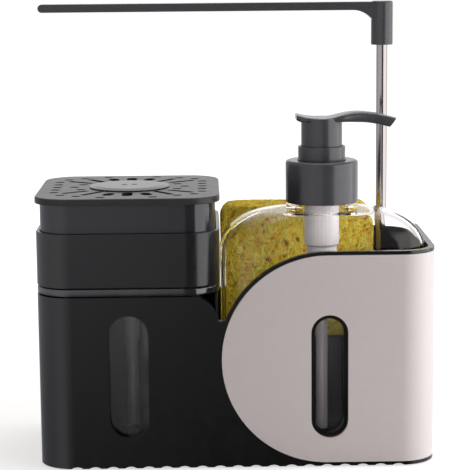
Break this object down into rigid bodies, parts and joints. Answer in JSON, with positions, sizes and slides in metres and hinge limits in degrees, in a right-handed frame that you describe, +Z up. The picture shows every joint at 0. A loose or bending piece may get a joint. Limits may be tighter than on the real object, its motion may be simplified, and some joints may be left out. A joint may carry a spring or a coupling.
{
  "type": "soap dispenser",
  "caption": "Sink caddy with a press-plate soap tank, a pump bottle behind a D-shaped panel, a sponge slot and a swinging towel arm.",
  "frame": {"origin": "centre of the whole object's box at the height of the surface it stands on", "axes": "+Z up, the front with the two view windows faces -Y, the pump's spout points to +X"},
  "size_m": [0.2282, 0.104, 0.2593],
  "materials": {
    "black_plastic": "moulded ABS, satin",
    "gloss_black_plastic": "moulded ABS, polished",
    "white_plastic": "moulded ABS, off-white, satin",
    "clear_plastic": "clear moulded polystyrene, polished",
    "milky_plastic": "natural polypropylene, translucent",
    "steel": "polished stainless steel",
    "rubber": "soft rubber, matt",
    "nylon": "natural nylon",
    "sponge": "coarse yellow cellulose fibre"
  },
  "bodies": {
    "root": {"caddy_body": "black_plastic", "cover_panel": "white_plastic", "sponge_rack": "black_plastic", "foot_front_left": "rubber", "foot_front_right": "rubber", "foot_back_left": "rubber", "foot_back_right": "rubber", "towel_rod": "steel", "rod_screw": "steel"},
    "arm": {"towel_arm": "black_plastic", "arm_bush": "nylon"},
    "sponge": {"sponge": "sponge"},
    "tank": {"soap_tank": "clear_plastic", "tank_gasket": "rubber"},
    "lid": {"tank_collar": "black_plastic", "press_cylinder": "milky_plastic", "press_cylinder_cap": "black_plastic", "press_valve_ball": "steel", "press_dip_tube": "milky_plastic", "press_spring": "steel"},
    "press": {"press_plate": "black_plastic", "press_skirt": "gloss_black_plastic", "outlet_disc": "black_plastic", "press_stem": "milky_plastic", "press_piston": "milky_plastic"},
    "bottle": {"lotion_bottle": "clear_plastic"},
    "pump": {"bottle_closure": "black_plastic", "neck_gasket": "rubber", "pump_chaplet": "black_plastic", "pump_housing": "milky_plastic", "pump_valve_ball": "steel", "pump_dip_tube": "milky_plastic", "pump_spring": "steel"},
    "stem": {"pump_stem": "milky_plastic", "pump_piston": "milky_plastic"},
    "head": {"pump_head": "black_plastic"}
  },
  "joints": [
    {"name": "arm_swing", "type": "hinge", "parent": "root", "child": "arm", "pos_m": [0.09155, 0.0441, 0.2332], "axis": [0, 0, 1], "continuous": true},
    {"name": "sponge_lift", "type": "slide", "parent": "root", "child": "sponge", "axis": [0, 0, 1], "range_m": [0, 0.1]},
    {"name": "tank_lift", "type": "slide", "parent": "root", "child": "tank", "axis": [0, 0, 1], "range_m": [0, 0.092]},
    {"name": "lid_lift", "type": "slide", "parent": "tank", "child": "lid", "axis": [0, 0, 1], "range_m": [0, 0.092]},
    {"name": "plate_press", "type": "slide", "parent": "lid", "child": "press", "axis": [0, 0, -1], "range_m": [0, 0.012], "stiffness_N_per_m": 150, "springref_m": -0.01, "deforming": ["press_spring"]},
    {"name": "bottle_lift", "type": "slide", "parent": "root", "child": "bottle", "axis": [0, 0, 1], "range_m": [0, 0.12]},
    {"name": "pump_lift", "type": "slide", "parent": "bottle", "child": "pump", "axis": [0, 0, 1], "range_m": [0, 0.15]},
    {"name": "pump_press", "type": "slide", "parent": "pump", "child": "stem", "axis": [0, 0, -1], "range_m": [0, 0.012], "stiffness_N_per_m": 300, "springref_m": -0.008, "deforming": ["pump_spring"]},
    {"name": "head_turn", "type": "hinge", "parent": "stem", "child": "head", "pos_m": [0.0512, -0.0153, 0.194], "axis": [0, 0, 1], "continuous": true}
  ]
}
